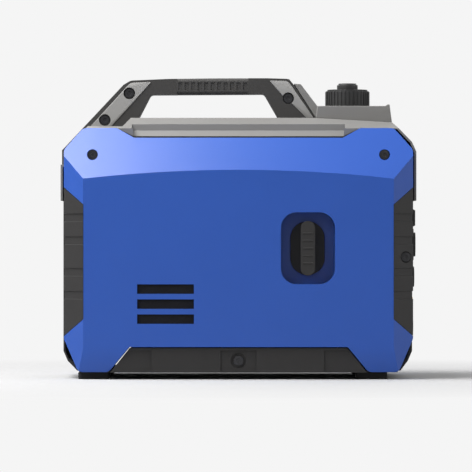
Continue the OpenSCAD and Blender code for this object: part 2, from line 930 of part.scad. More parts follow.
module flywheel() {
    color("silver") difference() {
        union() {
            rod_x(-10, 30, flywheel_r, 0, crank_z);
            rod_x(29, 55, 20, 0, crank_z);
            rod_x(54, 57, 30, 0, crank_z);
            rod_x(56, 76, 30, 0, crank_z);
            for (i = [0:blades - 1]) {
                translate([29, 0, crank_z]) rotate([i * 360 / blades, 0, 0]) rotate([0, 0, 0]) {
                    translate([0, -1.5, 30]) cube([18, 3, flywheel_r - 32]);
                }
            }
        }
        rod_x(-11, 24, flywheel_r - 12, 0, crank_z);
        rod_x(20, 60, shaft_r - 2 + run_fit, 0, crank_z);
        rod_x(59.5, 77, 26, 0, crank_z);
    }
}

module stator() {
    color("peru") difference() {
        union() {
            rod_x(engine_x1, 18, 40, 0, crank_z);
            for (i = [0:11]) {
                translate([-4, 0, crank_z]) rotate([i * 30, 0, 0]) translate([0, -6, 38]) cube([20, 12, 13]);
            }
        }
        rod_x(engine_x1 - 1, 19, 20, 0, crank_z);
    }
}

shroud_r = flywheel_r + 6;
shroud_x1 = 84;

module fan_shroud() {
    color("dimgray") difference() {
        rod_x(engine_x1, shroud_x1, shroud_r, 0, crank_z);
        rod_x(engine_x1 + wall, shroud_x1 + 1, shroud_r - wall, 0, crank_z);
        rod_x(engine_x1 - 1, engine_x1 + wall + 1, 56, 0, crank_z);
        // Outlet towards the cylinder fins
        block(engine_x1 + 8, 50, -30, 30, crank_z + 50, crank_z + 80);
    }
}

reel_x0 = starter_x - 7;
reel_x1 = starter_x + 7;
housing_x1 = reel_x1 + 16;

module recoil_housing() {
    color("dimgray") difference() {
        union() {
            difference() {
                rod_x(shroud_x1, housing_x1, shroud_r, 0, crank_z);
                rod_x(shroud_x1 - 1, housing_x1 - wall, shroud_r - wall, 0, crank_z);
            }
            rod_x(reel_x0 - 6, housing_x1 - 1, 8, 0, crank_z);
        }
        // Window for the rope, and four cooling openings in the end
        block(reel_x0 - 1, reel_x1 + 1, -shroud_r, -28, rope_z - 7, rope_z + 7);
        for (a = [45:90:315]) {
            translate([housing_x1, 0, crank_z]) rotate([a, 0, 0]) translate([-10, 0, 52]) {
                rotate([0, 90, 0]) cylinder(h = 20, r = 9);
            }
        }
    }
}

module recoil_reel() {
    groove_r = rope_pitch_r - rope_r - 0.35;
    color("ivory") difference() {
        union() {
            rod_x(reel_x0, reel_x0 + 3, groove_r + 10, 0, crank_z);
            rod_x(reel_x0 + 2, reel_x1 - 2, groove_r, 0, crank_z);
            rod_x(reel_x1 - 3, reel_x1, groove_r + 10, 0, crank_z);
            rod_x(72, reel_x0 + 1, 20, 0, crank_z);
        }
        rod_x(reel_x0 - 6.3, reel_x1 + 1, 8 + run_fit, 0, crank_z);
    }
}

// Flat spiral of spring strip between the reel and the housing
module recoil_spring() {
    turns = 4;
    steps = 24;
    function spiral(i, t) = (8.3 + t + 5.5 * i / steps) * [cos(i * 360 / steps), sin(i * 360 / steps)];
    color("silver") translate([reel_x1 + 2, 0, crank_z]) rotate([0, 90, 0]) linear_extrude(9) polygon(concat(
        [for (i = [0:turns * steps]) spiral(i, 1)],
        [for (i = [turns * steps:-1:0]) spiral(i, 0)]
    ));
}

module starter_rope() {
    color("ivory") rod_y(bar_y + bar_t - 8.7, 0, rope_r, starter_x, rope_z);
}

module rope_guide() {
    seat_y = recess_floor_y - 7;
    color("dimgray") difference() {
        union() {
            along_y(seat_y, recess_floor_y) pad(starter_x, rope_z, 48, grip_h - 1, 23.5);
            rod_y(recess_floor_y - 1, recess_floor_y + wall + 4, 10, starter_x, rope_z);
        }
        rod_y(seat_y - 1, recess_floor_y + wall + 5, rope_r + 0.6, starter_x, rope_z);
    }
}

module starter_grip() {
    rib_pitch = 10.4;
    color("dimgray") difference() {
        union() {
            along_y(bar_y, bar_y + bar_t) pad(starter_x, rope_z, grip_w, grip_h, grip_w / 2 - 0.1);
            for (i = [-2:2]) {
                z = rope_z + i * rib_pitch;
                block(starter_x - 7, starter_x + 7, bar_y - 0.8, bar_y + 1, z - 1, z + 1);
            }
        }
        rod_y(bar_y + bar_t - 9, bar_y + bar_t + 1, rope_r + run_fit, starter_x, rope_z);
    }
}

// ---------- electronics ----------

module inverter_module() {
    color("silver") difference() {
        block(142, 214, -62, 62, floor_top, 132);
        for (i = [0:9]) {
            y = -54 + i * 12;
            block(141, 215, y - 3.5, y + 3.5, 110, 133);
        }
    }
}

starter_side_cover();
service_side_cover();
service_door();
door_knob();
corner_guard(-1, false);  // corner_guard_1
corner_guard(1, true);  // corner_guard_2
mirror([0, 1, 0]) corner_guard(-1, true);  // corner_guard_3
mirror([0, 1, 0]) corner_guard(1, false);  // corner_guard_4
top_cover();
filler_block();
handle_front_half();
handle_back_half();
handle_grip();
handle_screws();
cover_screws();
exhaust_end_cover();
control_end_cover();
control_panel();
ac_outlets();
dc_outlet();
parallel_sockets();
run_knob();
eco_rocker();
reset_button(ac_button_y);  // ac_reset_button
reset_button(dc_button_y);  // dc_reset_button
ground_terminal();
base_pan();
trim_front();
trim_back();
rubber_foot(0);  // rubber_foot_1
rubber_foot(1);  // rubber_foot_2
rubber_foot(2);  // rubber_foot_3
rubber_foot(3);  // rubber_foot_4
engine_mounts();
crankcase();
cylinder_head();
valve_cover();
spark_plug();
plug_cap();
oil_filler_cap();
muffler();
exhaust_outlet();
air_cleaner_box();
carburettor();
fuel_tank();
fuel_hose();
cap_core();
fuel_cap();
vent_knob();
crankshaft();
flywheel();
stator();
fan_shroud();
recoil_housing();
recoil_reel();
recoil_spring();
starter_rope();
rope_guide();
starter_grip();
inverter_module();
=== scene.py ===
# %% [markdown]
# # A suitcase inverter generator
# The construction is already fixed: every piece has its real size and place in the imported model. This
# lesson dresses it. We load the model, give each material its real surface, round the edges that a mould
# never leaves sharp, and model by hand what the construction leaves out: the plates on the handle's legs,
# the braided starter rope, the indicator lamps, and black painted shade under the roof and behind the slots.

# %% Load the imported model and measure it
import json
import math

import bmesh
import bpy
from mathutils import Matrix, Vector


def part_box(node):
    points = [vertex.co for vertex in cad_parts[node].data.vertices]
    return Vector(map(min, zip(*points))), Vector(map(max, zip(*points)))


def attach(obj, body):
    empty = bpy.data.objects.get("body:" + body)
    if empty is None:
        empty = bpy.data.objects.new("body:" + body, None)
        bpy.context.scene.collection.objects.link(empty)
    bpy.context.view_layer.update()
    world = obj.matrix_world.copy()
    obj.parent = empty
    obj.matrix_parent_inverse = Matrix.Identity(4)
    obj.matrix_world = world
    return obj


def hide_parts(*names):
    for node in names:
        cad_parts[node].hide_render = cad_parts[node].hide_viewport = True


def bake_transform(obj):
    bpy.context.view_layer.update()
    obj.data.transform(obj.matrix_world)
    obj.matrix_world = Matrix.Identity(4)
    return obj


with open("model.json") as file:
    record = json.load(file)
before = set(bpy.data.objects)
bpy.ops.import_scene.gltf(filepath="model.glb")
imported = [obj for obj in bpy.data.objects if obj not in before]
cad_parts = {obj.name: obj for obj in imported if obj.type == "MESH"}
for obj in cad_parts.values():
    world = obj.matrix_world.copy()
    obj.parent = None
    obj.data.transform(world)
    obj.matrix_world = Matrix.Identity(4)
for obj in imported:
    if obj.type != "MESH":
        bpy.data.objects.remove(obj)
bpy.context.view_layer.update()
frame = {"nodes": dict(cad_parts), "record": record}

MM = 0.001
nodes = frame["nodes"]

# %% [markdown]
# ## Three small helpers
# Blender works in metres and in linear colour, while a maker thinks in millimetres and in the colours of a
# swatch. `linear` turns a hex swatch into linear colour. `node` adds one shader node with its settings
# and links. `alone` leaves exactly one object selected, because every operator acts on the whole selection.

# %% Colour, node and selection helpers
def linear(swatch):
    """An sRGB hex swatch as linear RGBA."""
    parts = [int(swatch[i:i + 2], 16) / 255 for i in (1, 3, 5)]
    return tuple(c / 12.92 if c <= 0.04045 else ((c + 0.055) / 1.055) ** 2.4 for c in parts) + (1.0,)


def node(tree, kind, settings=None, links=None):
    """Add a shader node; settings fill properties or sockets, links feed sockets from other outputs."""
    made = tree.nodes.new(kind)
    for name, value in (settings or {}).items():
        if hasattr(made, name):
            setattr(made, name, value)
        else:
            made.inputs[name].default_value = value
    for name, source in (links or {}).items():
        tree.links.new(source, made.inputs[name])
    return made


def alone(thing):
    """Select one object and make it the active one."""
    if bpy.context.mode != "OBJECT":
        bpy.ops.object.mode_set(mode="OBJECT")
    bpy.ops.object.select_all(action="DESELECT")
    thing.select_set(True)
    bpy.context.view_layer.objects.active = thing
    return thing


print("mid grey in linear light:", round(linear("#808080")[0], 3))

# %% [markdown]
# ## Moulded plastic
# Most of what the eye meets here is injection-moulded polypropylene. The mould is spark-eroded, which
# leaves a fine grain: it breaks up reflections without hiding them, so highlights are wide and soft. A
# moulding is never one flat colour either. The melt flows, cools unevenly and shows faint clouds. One
# recipe makes every plastic here; only the swatch, the gloss and the size of the grain differ.

# %% The recipe for grained plastic
CLOUD_MM = 60
GRAIN_STEP_MM = 0.4


def blank_material(name):
    """A material with no shader yet, its node tree, and the piece's own coordinates in metres."""
    mat = bpy.data.materials.new(name)
    mat.use_nodes = True
    tree = mat.node_tree
    tree.nodes.clear()
    return mat, tree, node(tree, "ShaderNodeTexCoord").outputs["Object"]


def grained(name, swatch, roughness, grain_mm, depth, cloud=0.05):
    """A moulded plastic or rubber: clouded colour, and a grain of the given size in millimetres."""
    mat, tree, place = blank_material(name)
    base = linear(swatch)
    lighter = tuple(min(1, c * (1 + cloud) + 0.002) for c in base[:3]) + (1.0,)
    darker = tuple(c * (1 - cloud) for c in base[:3]) + (1.0,)
    clouds = node(tree, "ShaderNodeTexNoise", {"Scale": 1 / (CLOUD_MM * MM), "Detail": 3.0},
                  {"Vector": place})
    colour = node(tree, "ShaderNodeMix", {"data_type": "RGBA"}, {"Factor": clouds.outputs["Fac"]})
    colour.inputs[6].default_value = darker
    colour.inputs[7].default_value = lighter
    grain = node(tree, "ShaderNodeTexNoise", {"Scale": 1 / (grain_mm * MM), "Detail": 2.0},
                 {"Vector": place})
    bump = node(tree, "ShaderNodeBump", {"Strength": depth, "Distance": GRAIN_STEP_MM * MM},
                {"Height": grain.outputs["Fac"]})
    gloss = node(tree, "ShaderNodeMapRange", {"To Min": roughness - 0.05, "To Max": roughness + 0.06},
                 {"Value": grain.outputs["Fac"]})
    skin = node(tree, "ShaderNodeBsdfPrincipled", {"IOR": 1.5, "Specular IOR Level": 0.25},
                {"Base Color": colour.outputs[2], "Normal": bump.outputs["Normal"],
                 "Roughness": gloss.outputs["Result"]})
    node(tree, "ShaderNodeOutputMaterial", None, {"Surface": skin.outputs["BSDF"]})
    return mat


print("one recipe for every plastic, with clouds", CLOUD_MM, "mm across")

# %% [markdown]
# ## The plastics of this machine
# The side covers carry the machine's colour and are the glossiest. From there to the feet, each plastic is
# duller and its grain deeper, as it is asked to hide more scratches.

# %% The plastics
# Blue polypropylene, satin: the glossiest moulding, as the side covers carry the colour
blue_cover = grained("blue_polypropylene", "#17489f", 0.38, 1.1, 0.10, 0.03)
blue_cover.node_tree.nodes["Principled BSDF"].inputs["Specular IOR Level"].default_value = 0.5
# Mid grey of the roof and the filler block: dry to the eye, with a deeper grain
grey_cover = grained("grey_polypropylene", "#737270", 0.50, 0.9, 0.25)
# Lighter grey of the handle's raised plates
plate_grey = grained("light_grey_polypropylene", "#898886", 0.48, 0.9, 0.22)
# Dark grey of the handle's body
handle_grey = grained("dark_grey_polypropylene", "#353433", 0.50, 0.9, 0.25)
# Charcoal of guards, base and ends
charcoal = grained("charcoal_polypropylene", "#292828", 0.52, 0.9, 0.30)
# Glass-filled nylon of caps, knobs and sockets
black_nylon = grained("black_glass_filled_nylon", "#2c2c2c", 0.45, 0.7, 0.20)
# Rubber scatters more and shines less
foot_rubber = grained("black_moulded_rubber", "#1e1d1d", 0.72, 1.2, 0.35)
grip_rubber = grained("soft_grip_rubber", "#3a3938", 0.66, 1.0, 0.35)
# Blow-moulded polyethylene of the tank, waxy
tank_plastic = grained("blow_moulded_polyethylene", "#2e2e2e", 0.42, 3.0, 0.20)
# Unfilled nylon keeps its cream colour
natural_nylon = grained("natural_nylon", "#d8d3c4", 0.45, 0.8, 0.15)
print("plastics made, the blue one is", [round(c, 3) for c in linear("#17489f")[:3]], "in linear light")

# %% [markdown]
# ## Metals
# A metal's colour is the colour of its reflection. A sand- or die-cast face is dull and pitted, a turned one
# is bright and streaked round its axis, and a silencer is tinted by heat.

# %% The recipe for metal
STAIN_MM = 30


def metal(name, swatch, roughness, grain_mm, depth, squeeze=(1, 1, 1), tint=None):
    """A metal with pits or tool marks of the given size, packed closer along X, Y or Z by squeeze."""
    mat, tree, place = blank_material(name)
    along = node(tree, "ShaderNodeMapping", {"Scale": squeeze}, {"Vector": place})
    marks = node(tree, "ShaderNodeTexNoise", {"Scale": 1 / (grain_mm * MM), "Detail": 4.0},
                 {"Vector": along.outputs["Vector"]})
    stains = node(tree, "ShaderNodeTexNoise", {"Scale": 1 / (STAIN_MM * MM), "Detail": 5.0},
                  {"Vector": place})
    colour = node(tree, "ShaderNodeMix", {"data_type": "RGBA"}, {"Factor": stains.outputs["Fac"]})
    colour.inputs[6].default_value = linear(swatch)
    colour.inputs[7].default_value = linear(tint or swatch)
    bump = node(tree, "ShaderNodeBump", {"Strength": depth, "Distance": GRAIN_STEP_MM * MM},
                {"Height": marks.outputs["Fac"]})
    gloss = node(tree, "ShaderNodeMapRange", {"To Min": roughness - 0.08, "To Max": roughness + 0.1},
                 {"Value": marks.outputs["Fac"]})
    skin = node(tree, "ShaderNodeBsdfPrincipled", {"Metallic": 1.0},
                {"Base Color": colour.outputs[2], "Normal": bump.outputs["Normal"],
                 "Roughness": gloss.outputs["Result"]})
    node(tree, "ShaderNodeOutputMaterial", None, {"Surface": skin.outputs["BSDF"]})
    return mat


print("one recipe for every metal, with stains", STAIN_MM, "mm across")

# %% [markdown]
# ## The metals of this machine
# A second, darker swatch is mixed in by the stains: it stands for dulled castings, heat tint and enamel.

# %% The metals
# Die-cast aluminium: grey and finely pitted
cast_alloy = metal("die_cast_aluminium", "#b4b4b2", 0.50, 1.2, 0.35, tint="#a3a29e")
# Turned steel: bright, with tool marks a quarter of a millimetre apart along X
turned_steel = metal("turned_steel", "#c4c3c0", 0.28, 2.0, 0.12, squeeze=(8, 1, 1))
# Silencer sheet, straw and brown where it runs hot
heat_steel = metal("heat_tinted_steel", "#8b8680", 0.42, 1.5, 0.20, tint="#6e5f4f")
# Enamelled copper windings: warm, with streaks six times as long along X as across
copper = metal("enamelled_copper", "#b9703f", 0.35, 1.0, 0.35, squeeze=(1, 6, 6), tint="#96522a")
# Yellow brass of the earth terminal
brass = metal("yellow_brass", "#c9a25a", 0.32, 1.0, 0.15, tint="#b08c49")
# Black oxide on the socket screws: almost black, oily shine
black_oxide = metal("black_oxide_steel", "#48484a", 0.35, 0.8, 0.15, tint="#343436")
print("metals made:", ", ".join(m.name for m in (cast_alloy, turned_steel, heat_steel, copper, brass)))

# %% [markdown]
# ## Braided cord
# The starter rope is a round braid of nylon yarns. Two sets of waves, turned to opposite sides of the rope's
# line, stand for the yarns of the two directions, about two millimetres apart.

# %% The braid
WAVES_PER_METRE = 3.1  # of a wave texture whose scale is 1


def braid(name, swatch, dark, pitch_mm):
    """A two-way braid on the piece's own coordinates, its yarns pitch_mm apart."""
    mat, tree, place = blank_material(name)
    waves = []
    for turn in (math.radians(38), math.radians(-38)):
        lay = node(tree, "ShaderNodeMapping", {"Rotation": (0.0, turn, turn)}, {"Vector": place})
        scale = 1 / (pitch_mm * MM) / WAVES_PER_METRE
        waves.append(node(tree, "ShaderNodeTexWave", {"Scale": scale, "Distortion": 0.4},
                          {"Vector": lay.outputs["Vector"]}))
    both = node(tree, "ShaderNodeMath", {"operation": "MAXIMUM"})
    tree.links.new(waves[0].outputs["Fac"], both.inputs[0])
    tree.links.new(waves[1].outputs["Fac"], both.inputs[1])
    colour = node(tree, "ShaderNodeMix", {"data_type": "RGBA"}, {"Factor": both.outputs["Value"]})
    colour.inputs[6].default_value = linear(dark)
    colour.inputs[7].default_value = linear(swatch)
    bump = node(tree, "ShaderNodeBump", {"Strength": 0.6, "Distance": 0.5 * MM},
                {"Height": both.outputs["Value"]})
    skin = node(tree, "ShaderNodeBsdfPrincipled", {"Roughness": 0.75, "Sheen Weight": 0.3},
                {"Base Color": colour.outputs[2], "Normal": bump.outputs["Normal"]})
    node(tree, "ShaderNodeOutputMaterial", None, {"Surface": skin.outputs["BSDF"]})
    return mat


yarn_pitch_mm = 2.2
rope_braid = braid("braided_nylon_cord", "#cfcbc0", "#8d897e", yarn_pitch_mm)
print("braid made, yarns", yarn_pitch_mm, "mm apart")

# %% [markdown]
# ## Dress the carried-over pieces
# The record names a material slot for every node. A table from slot to material does the whole job.

# %% One finish per slot
finishes = {
    "blue_cover": blue_cover, "grey_cover": grey_cover, "handle_grey": handle_grey,
    "dark_cover": charcoal, "black_plastic": black_nylon, "black_rubber": foot_rubber,
    "grip_rubber": grip_rubber, "black_screw": black_oxide, "cast_alloy": cast_alloy,
    "machined_steel": turned_steel, "heat_steel": heat_steel, "copper": copper, "brass": brass,
    "tank_plastic": tank_plastic, "white_cord": rope_braid, "nylon": natural_nylon,
}
slot_of = {row["node"]: row["material_slot"] for row in frame["record"]["subparts"]}
body_of = {name: body for body, names in frame["record"]["behaviour"]["bodies"].items() for name in names}
for name, thing in nodes.items():
    thing.data.materials.clear()
    thing.data.materials.append(finishes[slot_of[name]])
print(len(nodes), "nodes dressed from", len(finishes), "slots")

# %% [markdown]
# ## Rounded edges
# A construction solid has knife edges, and a mould never does: every outside edge has a radius of half a
# millimetre or more, and it is this radius that catches the light and draws the outline of a panel. So each
# visible shell is copied, its loose triangles are joined into one skin, flat neighbours are merged and
# the edges that are left are bevelled. Weighted normals then keep the large faces flat to the eye. The copy
# stands for the node; the node itself is left alone.

# %% Pick edges, weld points, round edges
FLAT_DEG = 0.3  # neighbours closer to one plane than this are merged
WELD = 0.01 * MM


def pick_edges(thing, wanted):
    """In edit mode, select the edges whose two ends both pass a test."""
    bpy.ops.mesh.select_mode(type="EDGE")
    bpy.ops.mesh.select_all(action="DESELECT")
    mesh = bmesh.from_edit_mesh(thing.data)
    picked = [edge for edge in mesh.edges if wanted(edge)]
    for edge in picked:
        edge.select = True
    bmesh.update_edit_mesh(thing.data)
    return len(picked)


def weld(thing):
    """Merge the points that a bevel or a cut leaves on top of each other."""
    alone(thing)
    bpy.ops.object.mode_set(mode="EDIT")
    bpy.ops.mesh.select_mode(type="VERT")
    bpy.ops.mesh.select_all(action="SELECT")
    bpy.ops.mesh.remove_doubles(threshold=2 * WELD)
    bpy.ops.mesh.dissolve_degenerate(threshold=WELD)
    bpy.ops.object.mode_set(mode="OBJECT")


def finish_edges(thing, radius_mm, segments=2, angle=24):
    """Round all edges sharper than an angle, then smooth the skin with its large faces kept flat."""
    bevel = thing.modifiers.new("edge radius", "BEVEL")
    bevel.width = radius_mm * MM
    bevel.segments = segments
    bevel.limit_method = "ANGLE"
    bevel.angle_limit = math.radians(angle)
    bevel.use_clamp_overlap = True
    bpy.ops.object.modifier_apply(modifier=bevel.name)
    weld(thing)
    bpy.ops.object.shade_smooth_by_angle(angle=math.radians(35))
    flatten = thing.modifiers.new("flat faces", "WEIGHTED_NORMAL")
    flatten.weight = 100
    flatten.keep_sharp = True
    bpy.ops.object.modifier_apply(modifier=flatten.name)


print("edges are rounded where two faces meet at 24 degrees or more")

# %% [markdown]
# ## Copies that stand for nodes
# A node's mesh is loose triangles, so a copy is merged before it is rounded. A few edges of the object are
# wider than the rest. They are picked by a test of their place and bevelled first, on their own.

# %% Copy a node with rounded edges
def rounded(name, radius_mm, wide=None):
    """Stand in for a node with a rounded copy; wide is a test, a width and a segment count for edges."""
    copy = bpy.data.objects.new("soft_" + name, nodes[name].data.copy())
    bpy.context.scene.collection.objects.link(copy)
    alone(copy)
    bpy.ops.object.mode_set(mode="EDIT")
    bpy.ops.mesh.select_all(action="SELECT")
    bpy.ops.mesh.remove_doubles(threshold=WELD)
    bpy.ops.mesh.customdata_custom_splitnormals_clear()
    bpy.ops.mesh.dissolve_limited(angle_limit=math.radians(FLAT_DEG))
    if wide:
        test, width_mm, segments = wide
        count = pick_edges(copy, test)
        bpy.ops.mesh.bevel(offset=width_mm * MM, segments=segments, affect="EDGES", clamp_overlap=True)
        print(name, "wide edge on", count, "edges")
    bpy.ops.object.mode_set(mode="OBJECT")
    finish_edges(copy, radius_mm)
    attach(copy, body_of[name])
    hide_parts(name)


def within(value, low_mm, high_mm):
    """Whether a length in metres lies between two lengths in millimetres."""
    return low_mm * MM < value < high_mm * MM


def beside_the_hand(edge):
    """The handle's two slanted inner edges, on its outer faces."""
    lo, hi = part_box("handle_front_half")
    ends = [vertex.co for vertex in edge.verts]
    on_face = all(abs(co.y) > 26.9 * MM for co in ends)
    in_legs = all(within(co.x - lo.x, 100, 130) or within(co.x - lo.x, 280, 314) for co in ends)
    under_bar = all(hi.z - co.z > 20 * MM for co in ends)
    starts_at_bar = any(hi.z - co.z < 56 * MM for co in ends)
    return on_face and in_legs and under_bar and starts_at_bar


def on_the_crest(edge):
    """The roof's two long upper edges over the side covers' dips."""
    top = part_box("top_cover")[1].z
    ends = [vertex.co for vertex in edge.verts]
    at_height = all(within(top - co.z, 4, 12) for co in ends)
    over_cover = all(within(abs(co.y), 58, 64) for co in ends)
    over_dip = all(abs(co.x) < 152 * MM for co in ends)
    return at_height and over_cover and over_dip


print("copies stand for the visible shells")

# %% [markdown]
# ## A radius for each shell
# Large covers have the largest radius, because a big moulding needs it to fill, and small knobs and screws
# the smallest. Whatever isn't in the table is hidden inside, or already round.

# %% Round the shells
edge_radius_mm = {
    "starter_side_cover": 2.0, "service_side_cover": 2.0, "service_door": 0.8,
    "filler_block": 1.2, "handle_grip": 0.6,
    "corner_guard_1": 0.7, "corner_guard_2": 0.7, "corner_guard_3": 0.7, "corner_guard_4": 0.7,
    "exhaust_end_cover": 0.8, "control_end_cover": 1.0, "trim_front": 1.0, "trim_back": 1.0,
    "fuel_cap": 0.5, "vent_knob": 1.6, "rope_guide": 1.5, "starter_grip": 1.2, "ac_outlets": 1.0,
    "rubber_foot_1": 1.0, "rubber_foot_2": 1.0, "rubber_foot_3": 1.0, "rubber_foot_4": 1.0,
    "handle_screws": 0.5, "cover_screws": 0.5, "dc_outlet": 0.6, "parallel_sockets": 0.6,
    "run_knob": 0.8, "eco_rocker": 0.8, "ac_reset_button": 0.6, "dc_reset_button": 0.6,
    "door_knob": 0.8, "ground_terminal": 0.5, "exhaust_outlet": 0.6, "control_panel": 0.4,
}
for name, radius in edge_radius_mm.items():
    rounded(name, radius)
for name in ("handle_front_half", "handle_back_half"):
    rounded(name, 2.6, wide=(beside_the_hand, 6, 1))
rounded("top_cover", 1.5, wide=(on_the_crest, 4.5, 4))
print("rounded", len(edge_radius_mm), "shells, both halves of the handle and the roof")

# %% [markdown]
# ## Plates on the handle's legs
# Each leg of the handle carries a slightly raised plate in a lighter grey. Each plate is drawn as its
# outline: a disc's rim points are moved to the corners, and the disc is pushed out to a thin slab. The screw
# heads show through round windows.

# %% Slab from an outline
def slab(name, outline, y_face, depth, radius_mm, material, body):
    """An upright slab in millimetres, its outline in X and Z, from y_face to depth further along Y."""
    bpy.ops.object.select_all(action="DESELECT")
    bpy.ops.mesh.primitive_circle_add(vertices=len(outline), radius=0.01, fill_type="NGON")
    made = alone(bpy.context.object)
    made.name = name
    for corner, (x, z) in zip(made.data.vertices, outline):
        corner.co = (x * MM, y_face * MM, z * MM)
    bpy.ops.object.mode_set(mode="EDIT")
    bpy.ops.mesh.select_all(action="SELECT")
    bpy.ops.mesh.extrude_region_move(TRANSFORM_OT_translate={"value": (0, depth * MM, 0)})
    bpy.ops.mesh.select_all(action="SELECT")
    bpy.ops.mesh.normals_make_consistent(inside=False)
    bpy.ops.object.mode_set(mode="OBJECT")
    finish_edges(made, radius_mm)
    made.data.materials.append(material)
    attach(made, body)
    return made


def bore(thing, x, z, r):
    """Cut a round window through a slab, along Y; the cutter is longer than the machine is wide."""
    bpy.ops.object.select_all(action="DESELECT")
    bpy.ops.mesh.primitive_cylinder_add(vertices=40, radius=r * MM, depth=0.3,
                                        location=(x * MM, 0, z * MM), rotation=(math.radians(90), 0, 0))
    cutter = bpy.context.object
    alone(thing)
    cut = thing.modifiers.new("window", "BOOLEAN")
    cut.operation = "DIFFERENCE"
    cut.object = cutter
    cut.solver = "EXACT"
    bpy.ops.object.modifier_apply(modifier=cut.name)
    bpy.data.objects.remove(cutter, do_unlink=True)
    weld(thing)


print("slab and window tools ready")

# %% Four plates
handle_rise = 56.7
proud, let_in = 1.3, 2.5
window_r = 8.3
handle_lo, handle_hi = [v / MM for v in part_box("handle_front_half")]
bar_top = handle_hi.z
deck = bar_top - handle_rise
leg_plates = {
    "left_leg_plate": [(-210, deck - 12), (-158.6, bar_top - 12.4), (-154, bar_top - 7.6),
                       (-148, bar_top - 6.2), (-123.6, bar_top - 5.6), (-180.6, deck - 12)],
    "right_leg_plate": [(44.2, bar_top - 3.4), (67, bar_top - 3.8), (71, bar_top - 5.4),
                        (75, bar_top - 10.5), (106.4, deck + 0.6), (96, deck + 0.6),
                        (78, bar_top - 38), (63.6, bar_top - 26)],
}
screw_windows = {"left_leg_plate": [(-154.7, bar_top - 21.4), (-189.4, bar_top - 59.2)],
                 "right_leg_plate": [(70.4, bar_top - 28.5)]}
for name, outline in leg_plates.items():
    for side, y_face in (("front", handle_lo.y - proud), ("back", -handle_lo.y - let_in)):
        plate = slab(name + "_" + side, outline, y_face, proud + let_in, 0.7, plate_grey,
                     "chassis")
        for x, z in screw_windows[name]:
            bore(plate, x, z, window_r)
print("leg plates made,", proud, "mm proud, with windows of", window_r, "mm radius")

# %% [markdown]
# ## Painted shade between roof and side cover
# A black strip of painted shade lies in the joint between the grey roof and each blue side cover. From the
# side it shows as a dark line above the cover's dipped edge. Grey webs of the roof close the dip's two
# slanted ends.

# %% Painted shade strips and webs
dip_depth = 14
seam = 78
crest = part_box("starter_side_cover")[1].z / MM
dip = crest - dip_depth
for side, sign in (("front", -1), ("back", 1)):
    # A black strip of painted shade in the joint, made in the black rubber of the feet
    shade_strip = [(-172, crest + 0.4), (-147, dip + 2.6), (147, dip + 2.6), (172, crest + 0.4),
             (177, crest - 3), (150, dip - 3), (-150, dip - 3), (-177, crest - 3)]
    slab("roof_gap_shade_" + side, shade_strip, sign * (seam + 2.6), -sign * 1.7, 0.3, foot_rubber,
         "chassis")
    for end, flip in (("left", -1), ("right", 1)):
        web = [(flip * x, z) for x, z in ((148, dip - 3), (164, dip - 3), (180, crest - 1), (148, crest))]
        slab(f"roof_web_{end}_{side}", web, sign * (seam + 0.8), -sign * 1.0, 0.2, grey_cover,
             "chassis")
print("seals and webs made round dips", dip_depth, "mm deep")

# %% [markdown]
# ## Painted shade behind the slots
# Behind every set of slots lies a black slab of painted shade. It stands for the dark inside of the machine
# and hides the engine from view, so a slot looks deep and dark. Strips of it also close the seams between
# the covers, where light would show through. Each slab is a cube stretched to its box, then subdivided and
# smoothed.

# %% Slabs of painted shade
# Near-black slabs of painted shade, coarsely grained and strongly clouded
painted_shade_slab = grained("painted_shade_black", "#17171b", 0.9, 2.5, 0.9, 0.2)
shade_pads = {
    "starter_side_foam": ((-150, -52), (-138.5, -134), (70, 139)),
    "service_side_foam": ((52, 150), (134, 138.5), (60, 190)),
    "service_door_foam": ((-112, -40), (135, 139), (100, 186)),
    "exhaust_end_foam": ((-239, -235), (-58, 58), (150, 240)),
    "control_end_foam": ((236, 246.5), (-60, 60), (252, 310)),
    "exhaust_top_foam": ((-246.5, -236), (-60, 60), (252, 294)),
}
# The seam strips are painted shade that stops light from showing through the gaps between the covers
for i, (s, t) in enumerate([(1, -1), (1, 1), (-1, -1), (-1, 1)], start=1):
    shade_pads[f"seam_foam_{i}"] = (sorted((s * 229, s * 233)), sorted((t * 66, t * 92)), (30, 318))
for name, (xs, ys, zs) in shade_pads.items():
    bpy.ops.object.select_all(action="DESELECT")
    bpy.ops.mesh.primitive_cube_add(size=1)
    shade_pad = alone(bpy.context.object)
    shade_pad.name = name
    for corner in shade_pad.data.vertices:
        corner.co = [pair[co > 0] * MM for pair, co in zip((xs, ys, zs), corner.co)]
    bpy.ops.object.mode_set(mode="EDIT")
    bpy.ops.mesh.select_all(action="SELECT")
    bpy.ops.mesh.subdivide(number_cuts=12)
    bpy.ops.mesh.vertices_smooth(factor=0.3, repeat=2)
    bpy.ops.object.mode_set(mode="OBJECT")
    bpy.ops.object.shade_smooth_by_angle(angle=math.radians(40))
    shade_pad.data.materials.append(painted_shade_slab)
    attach(shade_pad, "door" if name == "service_door_foam" else "chassis")
print(len(shade_pads), "foam slabs made")

# %% [markdown]
# ## Starter rope
# A braided nylon rope runs from the reel, through the guide's hole and into the back of the grip, where it
# is knotted. When the grip is pulled, rope comes off the reel and the free length grows. The tube has many
# close rings between the guide and the grip, so that this stretch can grow to the whole pull and stay
# round and straight.

